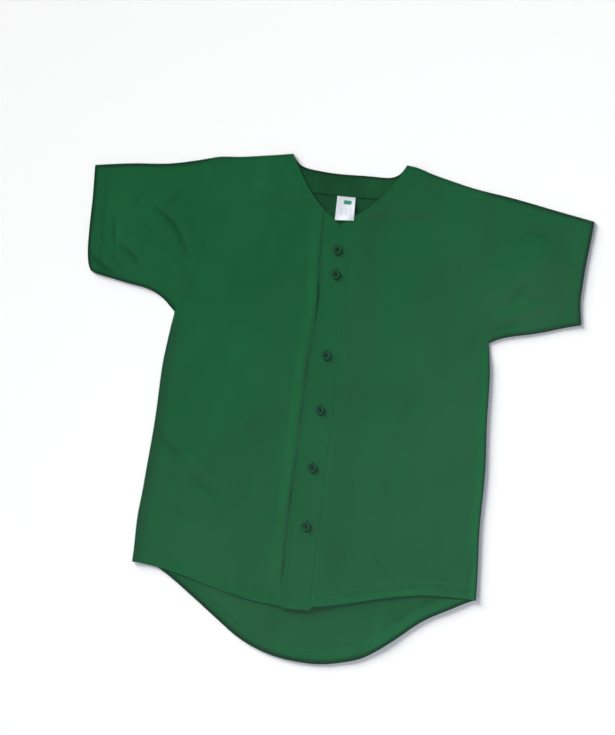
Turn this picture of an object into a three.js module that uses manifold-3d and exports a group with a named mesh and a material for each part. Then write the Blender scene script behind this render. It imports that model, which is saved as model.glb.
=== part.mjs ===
// A short-sleeved baseball jersey with a V neck and a long tail, laid flat on its back.
// Millimetres. +X is the wearer's left, +Y runs from the hem to the neck, +Z is up.
// Pieces are drawn with the armpits at Y 0, and the garment is then centred on its outline.
import * as THREE from 'three';
import { mergeVertices } from 'three/addons/utils/BufferGeometryUtils.js';
import Module from 'manifold-3d';

const wasm = await Module();
wasm.setup();

// Thicknesses, and the gap kept at seams and between layers
const CLOTH = 1.2;
const BAND = 1.6;
const FACING = 1.0;
const LABEL = 1.0;
const GAP = 0.3;

// Corners of the pattern, on the wearer's left and mirrored for the right
const NECK_SIDE = [98, 284];
const SHOULDER = [240, 260];
const ARMPIT = [270, 0];
const HEM_TOP = -440.5;

// The two sides as they lie: sign of X, half width at the hem, corners of the cuff, and how far
// the side seam and the cuff bow outward
const LEFT = {
  sign: 1, hem: 299.5, seamBow: 4, cuffTop: [425.6, 226.8], cuffBottom: [425.2, 49], cuffBow: -5.4,
};
const RIGHT = {
  sign: -1, hem: 293.5, seamBow: 2.5, cuffTop: [433.6, 227.3], cuffBottom: [421.4, 44.7], cuffBow: 4.5,
};

// Each hem dips by drop below its top, over half a width each way from the middle
const FRONT_HEM = { drop: 47, middle: -30, half: 275, power: 2 };
const TAIL_HEM = { drop: 142, middle: 19, half: 280, power: 1.25 };

// The back of the neck is nearly level and turns up at its ends
const NECK_LOW = 258.5;
const NECK_POWER = 8;
const FACING_DEPTH = 36.5;
const FACING_SPREAD = 24;

// Button bands: outer edge, seam to the front, and where the neckline meets each of them
const BAND_LEFT = { edge: -32, seam: 20, seamTop: 192, edgeTop: 121, curve: [-22, 164] };
const BAND_RIGHT = { edge: 20, seam: -29, seamTop: 191, edgeTop: 121, curve: [12, 164] };
const NECK_CURVE = [68, 222];
const UNDERARM_CURVE = [303, 25];

const LABEL_PLACE = { x: 2, top: 221.4, width: 33, height: 39 };

// Six buttons, from the top, with a wider gap after the second
const BUTTON_PLACES = [
  { x: -5, y: 129.5 },
  { x: -3, y: 87.5 },
  { x: -3.4, y: -52 },
  { x: -3.6, y: -146.5 },
  { x: -5.3, y: -246 },
  { x: -4.4, y: -346.8 },
];

// A button's section from its middle out, around, and back to the middle, as radius and height
const BUTTON_SECTION = [
  { radius: 0, height: 0 },
  { radius: 5.6, height: 0 },
  { radius: 7.1, height: 0.7 },
  { radius: 7.6, height: 1.6 },
  { radius: 7.2, height: 2.5 },
  { radius: 6.2, height: 2.8 },
  { radius: 5.2, height: 2.1 },
  { radius: 0, height: 1.9 },
];
const BUTTON_SIDES = 16;
const BUTTON_HOLE = { radius: 0.9, apart: 3, sides: 6, length: 10 };

// Broad swells of the upper layer: middle, reach along X and Y, and height
const SWELLS = [
  { x: -140, y: 60, reachX: 62, reachY: 105, height: 1.5 },
  { x: 140, y: 66, reachX: 60, reachY: 100, height: 1.3 },
  { x: -152, y: -205, reachX: 72, reachY: 130, height: 1.6 },
  { x: 154, y: -220, reachX: 72, reachY: 140, height: 1.7 },
  { x: -130, y: -452, reachX: 88, reachY: 62, height: 1.1 },
  { x: 150, y: -446, reachX: 80, reachY: 62, height: 1.2 },
  { x: -342, y: 138, reachX: 44, reachY: 48, height: 1.2 },
  { x: 340, y: 140, reachX: 44, reachY: 48, height: 1.4 },
];

// Folds of the upper layer: two ends, bow to the left of the run, half width and height
const FOLDS = [
  { from: [-319, 163], to: [-260, 100], bow: 5, width: 15, height: 1.8 },
  { from: [-369, 95], to: [-325, 62], bow: 0, width: 14, height: 1.0 },
  { from: [-237, 18], to: [-169, -53], bow: -4, width: 18, height: 1.2 },
  { from: [-259, -214], to: [-136, -284], bow: -13, width: 20, height: 1.5 },
  { from: [253, 33], to: [352, 52], bow: -6, width: 15, height: 1.6 },
  { from: [248, 52], to: [330, 96], bow: 6, width: 15, height: 1.0 },
  { from: [262, -46], to: [196, -118], bow: 6, width: 18, height: 1.0 },
];

// The fronts climb over the neck facing, and the left front over the right one's band
const FACING_CLEARANCE = { fromY: 188, toY: 212, fromX: 130, toX: 165 };
const OVERLAP = { fromX: 26, toX: 80 };

// Steps of each edge: the two parts of the body's side, the neck, and across
const SIDE_STEPS = 24;
const ARMHOLE_STEPS = 12;
const NECK_STEPS = 6;
const FRONT_COLUMNS = 12;
const BACK_SIDE_STEPS = 14;
const BACK_SHOULDER_STEPS = 3;
const BACK_NECK_STEPS = 12;
const SLEEVE_STEPS = 10;
const BAND_COLUMNS = 3;
const FACING_COLUMNS = 16;
const FACING_ROWS = 3;
const LABEL_STEPS = 2;

// How far in from a sleeve's folded edge its outer corner, its wall and its inner corner lie
const SLEEVE_EDGE = { rim: 1.2, wall: 1.3, corner: 2.2 };

const lerp = (a, b, t) => [a[0] + (b[0] - a[0]) * t, a[1] + (b[1] - a[1]) * t];
const mirrored = ([x, y]) => [-x, y];
const moved = ([x, y], dx, dy) => [x + dx, y + dy];
const smooth = THREE.MathUtils.smoothstep;

// An edge is a function from 0 to 1 along it to a point [x, y]
const line = (a, b) => (t) => lerp(a, b, t);
const arc = (a, control, b) => (t) => lerp(lerp(a, control, t), lerp(control, b, t), t);
const mirrorEdge = (edge) => (t) => mirrored(edge(t));
const flipEdge = (edge) => (t) => edge(1 - t);
const moveEdge = (edge, dx, dy) => (t) => moved(edge(t), dx, dy);

function cubic(a, c, d, b) {
  return (t) => lerp(arc(a, c, d)(t), arc(c, d, b)(t), t);
}

// An arc whose middle is pushed out along X
function bowed(a, b, bow) {
  return arc(a, moved(lerp(a, b, 0.5), 2 * bow, 0), b);
}

// Two edges end to end, the first of them taking the given share
function chain(first, share, second) {
  return (t) => (t <= share ? first(t / share) : second((t - share) / (1 - share)));
}

// Fills the space between four edges: left and right run along Y, bottom and top along X
function patch({ left, right, bottom, top }) {
  return (u, v) => [0, 1].map((axis) => {
    const across = (1 - u) * left(v)[axis] + u * right(v)[axis];
    const along = (1 - v) * bottom(u)[axis] + v * top(u)[axis];
    const lower = (1 - u) * left(0)[axis] + u * right(0)[axis];
    const upper = (1 - u) * left(1)[axis] + u * right(1)[axis];
    return across + along - (1 - v) * lower - v * upper;
  });
}

// Edges shared by both sides, drawn on the wearer's left
const armhole = cubic(ARMPIT, [246, 45], [236, 170], SHOULDER);
const shoulder = line(SHOULDER, NECK_SIDE);
const shoulderSlope = (SHOULDER[1] - NECK_SIDE[1]) / (SHOULDER[0] - NECK_SIDE[0]);

function hemY({ drop, middle, half, power }, x) {
  const turn = THREE.MathUtils.clamp((x - middle) / half, -1, 1);
  return HEM_TOP - drop * Math.cos((Math.PI / 2) * turn) ** power;
}

// A side seam and the armhole above it, from the hem to the shoulder
function outerEdge({ sign, hem, seamBow }, hemShape, share) {
  const corner = [hem, hemY(hemShape, sign * hem)];
  const edge = chain(bowed(corner, ARMPIT, seamBow), share, armhole);
  return sign > 0 ? edge : mirrorEdge(edge);
}

function hemEdge(hem, fromX, toX) {
  return (t) => {
    const x = fromX + (toX - fromX) * t;
    return [x, hemY(hem, x)];
  };
}

// The back neckline, from the right to the left. A depth and spread give a line parallel to it.
function backNeckline(depth = 0, spread = 0) {
  const half = NECK_SIDE[0] + spread;
  const low = NECK_LOW - depth;
  const high = NECK_SIDE[1] + shoulderSlope * spread;
  return (t) => {
    const place = Math.sin(Math.PI * (t - 0.5));
    return [half * place, low + (high - low) * Math.abs(place) ** NECK_POWER];
  };
}

// How far the upper layer stands above its lowest place
function rise(x, y) {
  let height = 0;
  for (const swell of SWELLS) {
    const across = (x - swell.x) / swell.reachX;
    const along = (y - swell.y) / swell.reachY;
    height += swell.height * Math.exp(-across * across - along * along);
  }
  for (const fold of FOLDS) {
    const run = moved(fold.to, -fold.from[0], -fold.from[1]);
    const offset = [x - fold.from[0], y - fold.from[1]];
    const length = Math.hypot(...run);
    const t = (offset[0] * run[0] + offset[1] * run[1]) / (length * length);
    if (t > 0 && t < 1) {
      const middle = 4 * t * (1 - t);
      const aside = (offset[1] * run[0] - offset[0] * run[1]) / length - fold.bow * middle;
      height += fold.height * middle * Math.exp(-((aside / fold.width) ** 2));
    }
  }
  return height;
}

function rightFrontBase(x, y) {
  const { fromX, toX, fromY, toY } = FACING_CLEARANCE;
  const nearNeck = smooth(y, fromY, toY) * (1 - smooth(Math.abs(x), fromX, toX));
  return CLOTH + GAP + rise(x, y) + nearNeck * (FACING + GAP);
}

function leftFrontBase(x, y) {
  const overlap = 1 - smooth(x, OVERLAP.fromX, OVERLAP.toX);
  return rightFrontBase(x, y) + overlap * (BAND + GAP);
}

// Splits a four-sided face along the line from a to c
function addFace(triangles, a, b, c, d) {
  triangles.push([a, b, c], [a, c, d]);
}

// A closed body, with its faces turned round where they point inward
function closedGeometry(points, triangles) {
  const cross = new THREE.Vector3();
  let volume = 0;
  for (const [a, b, c] of triangles) {
    volume += points[a].dot(cross.crossVectors(points[b], points[c]));
  }
  const faces = volume < 0 ? triangles.map(([a, b, c]) => [a, c, b]) : triangles;
  const geometry = new THREE.BufferGeometry().setFromPoints(points);
  geometry.setIndex(faces.flat());
  geometry.computeVertexNormals();
  return geometry;
}

// A cloth wall over a patch, with base(x, y) as the height of its underside
function clothGeometry(place, columns, rows, base, thickness) {
  const points = [];
  const triangles = [];
  for (const lift of [0, thickness]) {
    for (let row = 0; row <= rows; row += 1) {
      for (let column = 0; column <= columns; column += 1) {
        const [x, y] = place(column / columns, row / rows);
        points.push(new THREE.Vector3(x, y, base(x, y) + lift));
      }
    }
  }
  const at = (column, row) => row * (columns + 1) + column;
  const upper = (columns + 1) * (rows + 1);
  for (let row = 0; row < rows; row += 1) {
    for (let column = 0; column < columns; column += 1) {
      const [a, b] = [at(column, row), at(column + 1, row)];
      const [d, c] = [at(column, row + 1), at(column + 1, row + 1)];
      addFace(triangles, a, d, c, b);
      addFace(triangles, a + upper, b + upper, c + upper, d + upper);
    }
  }
  const rim = [];
  for (let column = 0; column < columns; column += 1) rim.push(at(column, 0));
  for (let row = 0; row < rows; row += 1) rim.push(at(columns, row));
  for (let column = columns; column > 0; column -= 1) rim.push(at(column, rows));
  for (let row = rows; row > 0; row -= 1) rim.push(at(0, row));
  rim.forEach((here, index) => {
    const next = rim[(index + 1) % rim.length];
    addFace(triangles, here, next, next + upper, here + upper);
  });
  return closedGeometry(points, triangles);
}

// One ring of a sleeve: across the upper layer from the underarm to the top, and back below
function sleeveRing(place, along, inset, floor, ceiling) {
  const width = Math.hypot(...moved(place(along, 1), -place(along, 0)[0], -place(along, 0)[1]));
  const edge = inset.edge / width;
  const corner = inset.corner / width;
  const shares = [corner];
  for (let step = 1; step < ARMHOLE_STEPS; step += 1) shares.push(step / ARMHOLE_STEPS);
  shares.push(1 - corner);
  const point = (share, height) => {
    const [x, y] = place(along, share);
    return new THREE.Vector3(x, y, height(x, y));
  };
  const middle = (x, y) => (floor(x, y) + ceiling(x, y)) / 2;
  return [
    point(edge, middle),
    ...shares.map((share) => point(share, ceiling)),
    point(1 - edge, middle),
    ...[...shares].reverse().map((share) => point(share, floor)),
  ];
}

// A flattened tube, open at the cuff and the armhole, with its wall between two sets of rings
function sleeveGeometry(place) {
  const bottom = () => 0;
  const insideBottom = () => CLOTH;
  const insideTop = (x, y) => CLOTH + GAP + rise(x, y);
  const top = (x, y) => insideTop(x, y) + CLOTH;
  const skin = { edge: 0, corner: SLEEVE_EDGE.rim };
  const lining = { edge: SLEEVE_EDGE.wall, corner: SLEEVE_EDGE.corner };
  const points = [];
  for (let step = 0; step <= SLEEVE_STEPS; step += 1) {
    const along = step / SLEEVE_STEPS;
    points.push(...sleeveRing(place, along, skin, bottom, top));
    points.push(...sleeveRing(place, along, lining, insideBottom, insideTop));
  }
  const ring = points.length / (2 * (SLEEVE_STEPS + 1));
  const outside = (step, index) => 2 * step * ring + (index % ring);
  const inside = (step, index) => outside(step, index) + ring;
  const triangles = [];
  for (let index = 0; index < ring; index += 1) {
    const next = index + 1;
    for (let step = 0; step < SLEEVE_STEPS; step += 1) {
      const beyond = step + 1;
      const outer = [outside(step, index), outside(beyond, index), outside(beyond, next), outside(step, next)];
      const inner = [inside(step, index), inside(step, next), inside(beyond, next), inside(beyond, index)];
      addFace(triangles, ...outer);
      addFace(triangles, ...inner);
    }
    const last = SLEEVE_STEPS;
    addFace(triangles, outside(0, index), outside(0, next), inside(0, next), inside(0, index));
    addFace(triangles, outside(last, index), inside(last, index), inside(last, next), outside(last, next));
  }
  return closedGeometry(points, triangles);
}

function toManifold(geometry) {
  const bare = geometry.clone();
  bare.deleteAttribute('normal');
  bare.deleteAttribute('uv');
  const merged = mergeVertices(bare, 1e-4);
  return new wasm.Manifold(new wasm.Mesh({
    numProp: 3,
    vertProperties: Float32Array.from(merged.attributes.position.array),
    triVerts: Uint32Array.from(merged.index.array),
  }));
}

function fromManifold(solid) {
  const mesh = solid.getMesh();
  const geometry = new THREE.BufferGeometry();
  geometry.setAttribute('position', new THREE.BufferAttribute(mesh.vertProperties, 3));
  geometry.setIndex(new THREE.BufferAttribute(mesh.triVerts, 1));
  geometry.computeVertexNormals();
  return geometry;
}

// A dished button with a rolled rim and four thread holes, standing on its underside
function buttonGeometry() {
  const section = BUTTON_SECTION.map(({ radius, height }) => new THREE.Vector2(radius, height));
  const disc = new THREE.LatheGeometry(section, BUTTON_SIDES);
  disc.rotateX(Math.PI / 2);
  let button = toManifold(disc);
  for (const [dx, dy] of [[-1, -1], [1, -1], [-1, 1], [1, 1]]) {
    const { radius, apart, sides, length } = BUTTON_HOLE;
    const hole = new THREE.CylinderGeometry(radius, radius, length, sides);
    hole.rotateX(Math.PI / 2);
    hole.translate((dx * apart) / 2, (dy * apart) / 2, 0);
    button = button.subtract(toManifold(hole));
  }
  return fromManifold(button);
}

const clothGreen = new THREE.MeshStandardMaterial({ color: 0x1f5f39, roughness: 0.9, metalness: 0 });
const facingGreen = new THREE.MeshStandardMaterial({ color: 0x1b5230, roughness: 0.9, metalness: 0 });
const labelWhite = new THREE.MeshStandardMaterial({ color: 0xe9ebee, roughness: 0.8, metalness: 0 });
const buttonGreen = new THREE.MeshStandardMaterial({ color: 0x1c4a33, roughness: 0.3, metalness: 0 });

const garment = new THREE.Group();

function addPiece(name, geometry, material) {
  const mesh = new THREE.Mesh(geometry, material);
  mesh.name = name;
  garment.add(mesh);
  return mesh;
}

function addBack() {
  const steps = BACK_SIDE_STEPS + ARMHOLE_STEPS;
  const columns = BACK_NECK_STEPS + 2 * BACK_SHOULDER_STEPS;
  const sideShare = BACK_SIDE_STEPS / steps;
  const shoulderShare = BACK_SHOULDER_STEPS / columns;
  const neckShare = BACK_NECK_STEPS / (columns - BACK_SHOULDER_STEPS);
  const place = patch({
    left: outerEdge(RIGHT, TAIL_HEM, sideShare),
    right: outerEdge(LEFT, TAIL_HEM, sideShare),
    bottom: hemEdge(TAIL_HEM, -RIGHT.hem, LEFT.hem),
    top: chain(mirrorEdge(shoulder), shoulderShare, chain(backNeckline(), neckShare, flipEdge(shoulder))),
  });
  addPiece('back_panel', clothGeometry(place, columns, steps, () => 0, CLOTH), clothGreen);
}

function addFront(name, side, band, base) {
  const rows = SIDE_STEPS + ARMHOLE_STEPS;
  const { sign, hem } = side;
  const neckSide = [sign * NECK_SIDE[0], NECK_SIDE[1]];
  const seamX = band.seam + sign * GAP;
  const seam = line([seamX, hemY(FRONT_HEM, seamX)], [seamX, band.seamTop]);
  const neck = arc([seamX, band.seamTop], [sign * NECK_CURVE[0], NECK_CURVE[1]], neckSide);
  const place = patch({
    left: chain(seam, 1 - NECK_STEPS / rows, neck),
    right: outerEdge(side, FRONT_HEM, SIDE_STEPS / rows),
    bottom: hemEdge(FRONT_HEM, seamX, sign * hem),
    top: sign > 0 ? flipEdge(shoulder) : mirrorEdge(flipEdge(shoulder)),
  });
  addPiece(name, clothGeometry(place, FRONT_COLUMNS, rows, base, CLOTH), clothGreen);
}

function addBand(name, band, base) {
  const rows = SIDE_STEPS + ARMHOLE_STEPS - NECK_STEPS;
  const edgeBottom = [band.edge, hemY(FRONT_HEM, band.edge)];
  const seamBottom = [band.seam, hemY(FRONT_HEM, band.seam)];
  const place = patch({
    left: line(edgeBottom, [band.edge, band.edgeTop]),
    right: line(seamBottom, [band.seam, band.seamTop]),
    bottom: hemEdge(FRONT_HEM, band.edge, band.seam),
    top: arc([band.edge, band.edgeTop], band.curve, [band.seam, band.seamTop]),
  });
  addPiece(name, clothGeometry(place, BAND_COLUMNS, rows, base, BAND), clothGreen);
}

function addSleeve(name, { sign, cuffTop, cuffBottom, cuffBow }) {
  const start = moveEdge(armhole, GAP, 0);
  const place = patch({
    left: start,
    right: bowed(cuffBottom, cuffTop, cuffBow),
    bottom: arc(start(0), UNDERARM_CURVE, cuffBottom),
    top: line(start(1), cuffTop),
  });
  const sided = (u, v) => (sign > 0 ? place(u, v) : mirrored(place(u, v)));
  addPiece(name, sleeveGeometry(sided), clothGreen);
}

// The facing and the label lie on the back
const onBack = () => CLOTH + GAP;

function addFacing() {
  const upper = backNeckline();
  const lower = backNeckline(FACING_DEPTH, FACING_SPREAD);
  const place = (u, v) => lerp(lower(u), upper(u), v);
  const geometry = clothGeometry(place, FACING_COLUMNS, FACING_ROWS, onBack, FACING);
  addPiece('back_neck_facing', geometry, facingGreen);
}

function addLabel() {
  const { x, top, width, height } = LABEL_PLACE;
  const place = (u, v) => [x + (u - 0.5) * width, top - (1 - v) * height];
  addPiece('neck_label', clothGeometry(place, LABEL_STEPS, LABEL_STEPS, onBack, LABEL), labelWhite);
}

function addButtons() {
  BUTTON_PLACES.forEach(({ x, y }, index) => {
    const button = addPiece(`button_${index + 1}`, buttonGeometry(), buttonGreen);
    button.position.set(x, y, leftFrontBase(x, y) + BAND + GAP);
  });
}

addBack();
addFront('front_right_panel', RIGHT, BAND_RIGHT, rightFrontBase);
addFront('front_left_panel', LEFT, BAND_LEFT, leftFrontBase);
addBand('placket_right', BAND_RIGHT, rightFrontBase);
addBand('placket_left', BAND_LEFT, leftFrontBase);
addSleeve('sleeve_right', RIGHT);
addSleeve('sleeve_left', LEFT);
addFacing();
addLabel();
addButtons();

// Centres the outline on the origin
const middle = new THREE.Box3().setFromObject(garment).getCenter(new THREE.Vector3());
garment.position.set(-middle.x, -middle.y, 0);

export default garment;
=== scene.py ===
import math
from types import SimpleNamespace as Sizes

import bpy
import numpy as np
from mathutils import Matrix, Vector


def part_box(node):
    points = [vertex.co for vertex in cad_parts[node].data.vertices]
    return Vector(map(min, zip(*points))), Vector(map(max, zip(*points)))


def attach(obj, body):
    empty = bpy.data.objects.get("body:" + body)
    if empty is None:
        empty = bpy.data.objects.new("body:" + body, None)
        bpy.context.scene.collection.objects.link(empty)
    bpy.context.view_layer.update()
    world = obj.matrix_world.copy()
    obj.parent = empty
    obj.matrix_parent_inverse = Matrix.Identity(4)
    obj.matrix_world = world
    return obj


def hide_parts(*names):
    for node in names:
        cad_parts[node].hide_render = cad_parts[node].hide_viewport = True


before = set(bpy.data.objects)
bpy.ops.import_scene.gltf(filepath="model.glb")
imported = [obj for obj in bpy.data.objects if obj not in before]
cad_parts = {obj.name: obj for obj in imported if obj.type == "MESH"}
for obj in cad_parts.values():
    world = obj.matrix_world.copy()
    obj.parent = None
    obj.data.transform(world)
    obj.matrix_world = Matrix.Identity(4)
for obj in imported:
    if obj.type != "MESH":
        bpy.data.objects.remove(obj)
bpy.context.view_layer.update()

MM = 0.001


def rows(columns, *table):
    """A table whose rows have their columns by name."""
    return [Sizes(**dict(zip(columns.split(), row))) for row in table]


# Thicknesses, and the gap kept at seams and between layers
CLOTH = 1.2
BAND = 1.6
FACING = 1.0
LABEL = 0.5
GAP = 0.3
SEAM = 0.02

# Corners of the pattern, on the wearer's left and mirrored for the right
NECK_SIDE = (98, 284)
SHOULDER = (240, 260)
ARMPIT = (270, 0)
HEM_TOP = -440.5
UNDERARM_CURVE = (303, 25)
NECK_CURVE = (68, 222)

# The two sides as they lie: half width at the hem, corners of the cuff, and how far the side seam
# and the cuff bow outward
LEFT = Sizes(
    name="left", sign=1, hem=299.5, seam_bow=4,
    cuff_top=(425.6, 226.8), cuff_bottom=(425.2, 49), cuff_bow=-5.4,
)
RIGHT = Sizes(
    name="right", sign=-1, hem=293.5, seam_bow=2.5,
    cuff_top=(433.6, 227.3), cuff_bottom=(421.4, 44.7), cuff_bow=4.5,
)

# Each hem dips by drop below its top, over half a width each way from the middle
FRONT_HEM = Sizes(drop=47, middle=-30, half=275, power=2)
TAIL_HEM = Sizes(drop=142, middle=19, half=280, power=1.25)

# The back of the neck is nearly level and turns up at its ends
NECK_LOW = 258.5
NECK_POWER = 8
FACING_DEPTH = 36.5
FACING_SPREAD = 24

# Button bands: outer edge, seam to the front, and where the neckline meets each of them
BAND_LEFT = Sizes(edge=-32, seam=20, seam_top=192, edge_top=121, curve=(-22, 164))
BAND_RIGHT = Sizes(edge=20, seam=-29, seam_top=191, edge_top=121, curve=(12, 164))

# The label's middle, its top edge and its size
TAG = Sizes(x=2, top=221.4, width=33, height=39)

# Six buttons, from the top, with a wider gap after the second
BUTTON_PLACES = [(-5, 129.5), (-3, 87.5), (-3.4, -52), (-3.6, -146.5), (-5.3, -246), (-4.4, -346.8)]

# Shares of a front's height below the armpit and below the end of the band's seam, of the back's
# height below the armpit, and of its top edge: a shoulder's, and the neckline's of what follows it
SIDE_SHARE = 2 / 3
SEAM_SHARE = 5 / 6
BACK_SHARE = 7 / 13
SHOULDER_SHARE = 1 / 6
NECK_SHARE = 0.8

# The fronts climb over the neck facing, and the left front over the right one's band
OVER_FACING = Sizes(x=(130, 165), y=(188, 212))
OVER_BAND = (26, 80)

# Painted shade: above this height the back's upper side takes the darker cloth, in the neck opening
NECK_SHADE_FROM_Y = 150

# The band's outer edge wanders to the wearer's left: middle and reach along Y, and how far
WANDERS = [(40, 100, 3), (30, 36, 5.5), (-345, 70, -2)]

# The right front swells up beside the band that lies on it: height, where it begins above the
# hem, how far from the band it is full and has faded, and the reach of its higher places
BESIDE_BAND = Sizes(height=0.85, begins=(-480, -400), full=6, faded=26, reach=20)

# Where along Y that swell is higher, and by how much
BAND_SWELLS = [(112, 0.3), (52, 0.9), (-78, 0.75), (-156, 0.7), (-238, 0.5), (-300, 0.9), (-420, 0.6)]

# How far the band's lower end hangs below the hem, at its edge and at its seam
BAND_DROP = (3, 5.5)

# Where the whole garment lies a little off its pattern: place, how far it is drawn, and reach
PULLS = rows(
    "x y dx dy reach",
    (218, 260, -0.5, -3.3, 50),
    (115, 284, 0, 3.8, 24),
    (45, 262, 0, 2.6, 45),
    (-68, 262, 0, 2.4, 32),
    (-306, 245, 0.5, -4.5, 48),
    (-221, 265, 0, 2.6, 24),
    (-431, 176, 2.8, 0, 45),
    (-425, 76, -2.4, -0.8, 34),
    (-423, 44, 2, 2.4, 9),
    (-316, 21, 0, 4.5, 32),
    (-272, -1, 0.5, -7, 18),
    (349, 30, 0, -6.5, 55),
    (422, 195, 3.2, 0.8, 50),
    (421, 87, -2.2, 0, 25),
    (276, -54, 4, 0, 60),
    (287, -228, 2.2, 0, 78),
    (290, -311, -3.3, 0, 75),
    (-280, -95, -2.9, 0, 55),
    (-283, -213, 0.9, 0, 50),
    (-292, -364, -2.3, 0, 40),
)

# The same for the back alone, along its tail
TAIL_PULLS = rows(
    "x y dx dy reach",
    (208, -489, -2.8, 6.8, 50),
    (118, -559, 0.8, -3.4, 32),
    (8, -580, 0, 2.8, 42),
    (-95, -550, -1.0, -2.2, 42),
)

# The tail swells up beside the front's hem: height, where it begins and is full under the hem,
# how slowly it fades past it, the share lost below the band and the reach of that loss, and where
# it ends on both sides
TAIL_SWELL = Sizes(height=1.6, begins=(-24, -1), fade=40, lost=0.5, reach=38, ends=(190, 270))

# Broad swells of the upper layer: middle, reach along X and Y, and height
SWELLS = rows(
    "x y reach_x reach_y height",
    (-140, 60, 62, 105, 1.5),
    (140, 66, 60, 100, 1.3),
    (-165, -215, 78, 130, 1.8),
    (154, -220, 72, 140, 1.7),
    (-130, -452, 88, 62, 0.9),
    (150, -446, 80, 62, 1.0),
    (-325, 128, 66, 62, 2.2),
    (332, 130, 62, 62, 1.9),
)

# Folds of the upper layer: two ends, bow to the left, half width, and height, below 0 in a trough
FOLDS = rows(
    "from_x from_y to_x to_y bow width height",
    (-326, 167, -264, 108, 9, 4.5, -1.7),
    (-278, 126, -252, 80, 2, 5, -0.8),
    (-330, 156, -280, 108, 8, 7, 0.5),
    (-312, 176, -244, 104, 12, 9, 0.4),
    (-304, 170, -274, 202, -2, 5, -0.5),
    (-377, 97, -332, 60, 4, 4.5, -1.4),
    (-387, 78, -358, 50, 0, 4, -0.9),
    (-426, 82, -372, 42, -4, 4.5, -2.1),
    (-407, 112, -390, 84, 0, 4, -0.6),
    (-364, 108, -330, 66, 4, 6, 0.5),
    (-294, 92, -258, 36, 4, 7, 0.7),
    (-392, 150, -382, 82, 2, 4, -0.7),
    (-346, 150, -318, 100, 5, 6, -0.35),
    (-340, 192, -360, 160, 0, 5, -0.4),
    (-258, 78, -226, 20, -5, 6, -0.6),
    (-262, 34, -206, 14, -4, 6, -0.5),
    (-258, 8, -190, -40, -5, 8, 0.6),
    (-232, -20, -168, -88, -6, 12, 0.5),
    (-286, -206, -206, -262, -4, 7, -1.0),
    (-262, -216, -166, -276, -7, 10, 0.9),
    (-216, -268, -146, -316, -5, 7, -0.7),
    (-146, -172, -108, -208, 3, 7, 0.7),
    (-132, -276, -102, -296, 0, 5, -0.5),
    (-92, -338, -48, -356, 0, 10, 0.7),
    (-246, -332, -196, -366, 3, 8, -0.4),
    (262, 22, 322, 52, -5, 6, -0.9),
    (270, 44, 362, 84, -6, 7, 0.8),
    (296, 66, 336, 116, 4, 6, -0.7),
    (326, 84, 366, 88, 2, 5, -0.5),
    (306, 196, 358, 190, 3, 6, -0.8),
    (330, 168, 392, 130, 6, 16, 0.6),
    (392, 56, 404, 92, 0, 6, -0.5),
    (252, 36, 220, -28, 5, 7, -0.6),
    (262, -30, 196, -104, 6, 12, 0.7),
    (128, -148, 166, -106, 0, 8, -0.6),
    (128, -216, 190, -240, 5, 13, 0.7),
    (122, -240, 130, -300, 0, 6, -0.5),
    (216, -318, 238, -372, 0, 7, -0.5),
    (112, -372, 160, -430, -4, 6, -0.5),
    (288, -336, 284, -446, -1, 4, -1.0),
    (90, 236, 176, 196, -8, 14, 0.4),
    (-98, 232, -186, 206, 7, 14, 0.4),
)

# A turned hem is thicker up to its depth, and is held by two rows of stitches in low grooves
HEM = Sizes(
    depth=21, lift=0.3, rows=(13.4, 19.6), groove=0.1, groove_below=0.3, groove_width=0.9, pucker=0.22,
)

# Rows of topstitching: how far they are from each edge of the band, the neckline and the facing
BAND_ROWS = dict(left=6.5, right=2.6, top=6)
NECK_ROW = 6
FACING_ROW = 2.2

# Distances from an edge at which a grid has a row of points, so that the edge is round
EDGE_ROWS = (0, 0.12, 0.4, 0.85, 1.5, 2.4)
HEM_ROWS = (0, 0.12, 0.4, *np.arange(0.9, 26, 0.9))
SEAM_ROWS = (0, 0.12, 0.4, *np.arange(0.9, 9.5, 0.9))
FACING_ROWS = (0, 0.12, 0.4, *np.arange(0.9, 5, 0.7))
LABEL_ROWS = (0, 0.1, 0.3, 0.7, 1.4)

EDGES = ("left", "right", "bottom", "top")

# How an edge is rounded: radius, and the share of the thickness taken from above and from below
FOLDED = (0.4, 0.5, 0.46)
PRESSED = (0.4, 0, 0.4)
BUTTED = (0.6, 0.05, 0)
TURNED_DOWN = (2.0, 0.94, 0)
TURNED_UP = (1.4, 0, 0.94)
LABEL_EDGE = (0.4, 0.5, 0.4)

# Painted shade in the creases: how dark the deepest creases are painted, 0 to 1, and how deep they are
CREASE_SHADE = Sizes(most=0.6, depth=2.1)

STITCH = Sizes(length=2.3, gap=0.5, radius=0.26)
STITCH_SHARES = np.array([0, 0.2, 0.5, 0.8, 1])
STITCH_HEIGHTS = np.array([-0.3, -0.06, 0.0, -0.06, -0.3])

# Edges sharper than this stay sharp on cloth, and on the buttons
CLOTH_ANGLE = math.radians(60)
BUTTON_ANGLE = math.radians(40)

# The camera looks straight down: place, height and turn in degrees
CAMERA = Sizes(x=-32.4, y=-76.4, height=3500, turn=6.5, lens=100, sensor=36)

GREEN = "#0A542C"
GREEN_PALE = "#0F5932"
# Painted shade: the neck green darkens the shaded neck opening, and the shade greens darken edges and
# creases
GREEN_NECK_SHADE = "#06341B"
GREEN_SHADE = "#023019"
GREEN_NECK_DEEP_SHADE = "#01150B"
GREEN_THREAD = "#0B552E"
GREEN_BUTTON_THREAD = "#062A1A"
RESIN_GREEN = "#0D3524"
RESIN_SWIRL = "#1F5039"
LABEL_WHITE = "#D0D5DB"
LABEL_GREEN = "#2C8A6E"
LABEL_GREY = "#A9AFB8"
SHEEN_GREEN = "#8FC9AE"
PAPER_WHITE = "#FEFEFE"
WALL_WHITE = "#DFE2E6"
CEILING_GREY = "#4A4C4F"


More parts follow.
